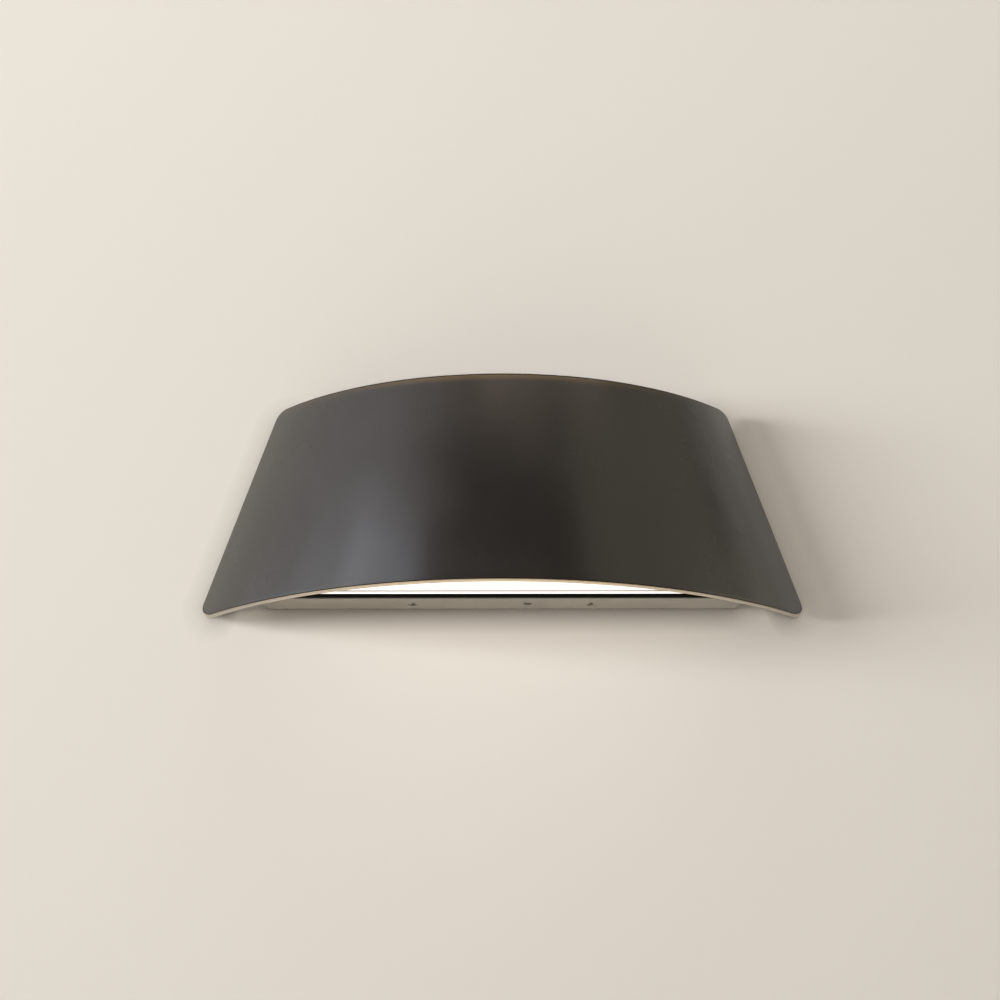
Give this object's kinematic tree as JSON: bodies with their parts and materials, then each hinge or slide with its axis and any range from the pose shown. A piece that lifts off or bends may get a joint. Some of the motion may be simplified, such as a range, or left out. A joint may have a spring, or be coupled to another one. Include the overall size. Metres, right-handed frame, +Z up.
{
  "type": "outdoor wall downlight",
  "caption": "Outdoor wall downlight: a curved trapezoid plate shade in front of a shallow wall box, with a glowing opal diffuser that shines down inside the shade.",
  "frame": {"origin": "middle of the wall plate's back face, on the wall plane, midway between its two wall screw slots", "axes": "+Y into the wall, +Z up, +X to the right when facing the light from the room; it shines towards -Z"},
  "size_m": [0.2706, 0.0709, 0.0999],
  "materials": {
    "graphite_paint": "satin",
    "galvanised_sheet": "satin",
    "zinc_plated": "satin",
    "black_steel": "satin",
    "black_rubber": "matte",
    "cast_aluminium": "satin",
    "grey_silicone": "matte",
    "white_board": "satin",
    "led_phosphor": "gloss",
    "white_plastic": "satin",
    "opal_plastic": "satin",
    "driver_case": "satin",
    "terminal_plastic": "satin",
    "contact_brass": "satin",
    "green_plastic": "satin",
    "brown_plastic": "satin",
    "blue_plastic": "satin",
    "tinned_copper": "satin",
    "green_sleeve": "satin",
    "brown_sleeve": "satin",
    "blue_sleeve": "satin",
    "red_sleeve": "satin",
    "black_sleeve": "satin"
  },
  "bodies": {
    "wall_bracket": {"wall_plate": "galvanised_sheet", "cable_grommet": "black_rubber"},
    "lamp": {"housing": "graphite_paint", "wall_gasket": "black_rubber", "shade": "graphite_paint", "shade_screws": "zinc_plated", "top_cover": "graphite_paint", "top_cover_screws": "black_steel", "light_tray": "cast_aluminium", "light_tray_screws": "zinc_plated", "wire_grommet": "black_rubber", "thermal_pad": "grey_silicone", "led_board": "white_board", "led_chips": "led_phosphor", "led_board_screws": "zinc_plated", "reflector": "white_plastic", "diffuser_seal": "grey_silicone", "diffuser": "opal_plastic", "led_driver": "driver_case", "driver_screws": "zinc_plated", "terminal_block": "terminal_plastic", "terminal_contacts": "contact_brass", "terminal_screws": "zinc_plated", "earth_tag": "tinned_copper", "earth_screw": "zinc_plated", "earth_lead": "green_sleeve", "live_lead": "brown_sleeve", "neutral_lead": "blue_sleeve", "led_plus_lead": "red_sleeve", "led_minus_lead": "black_sleeve"},
    "fixing_screw_left_body": {"fixing_screw_left": "black_steel"},
    "fixing_screw_right_body": {"fixing_screw_right": "black_steel"},
    "earth_button_body": {"earth_button": "green_plastic"},
    "live_button_body": {"live_button": "brown_plastic"},
    "neutral_button_body": {"neutral_button": "blue_plastic"}
  },
  "joints": [
    {"name": "lamp_pull_off", "type": "slide", "parent": "wall_bracket", "child": "lamp", "axis": [0, -1, 0], "range_m": [0, 0.06]},
    {"name": "fixing_screw_left_undo", "type": "slide", "parent": "lamp", "child": "fixing_screw_left_body", "axis": [0, 0, -1], "range_m": [0, 0.004]},
    {"name": "fixing_screw_right_undo", "type": "slide", "parent": "lamp", "child": "fixing_screw_right_body", "axis": [0, 0, -1], "range_m": [0, 0.004]},
    {"name": "earth_button_press", "type": "slide", "parent": "lamp", "child": "earth_button_body", "axis": [0, -1, 0], "range_m": [0, 0.002], "stiffness_N_per_m": 1500, "springref_m": -0.001},
    {"name": "live_button_press", "type": "slide", "parent": "lamp", "child": "live_button_body", "axis": [0, -1, 0], "range_m": [0, 0.002], "stiffness_N_per_m": 1500, "springref_m": -0.001},
    {"name": "neutral_button_press", "type": "slide", "parent": "lamp", "child": "neutral_button_body", "axis": [0, -1, 0], "range_m": [0, 0.002], "stiffness_N_per_m": 1500, "springref_m": -0.001}
  ]
}
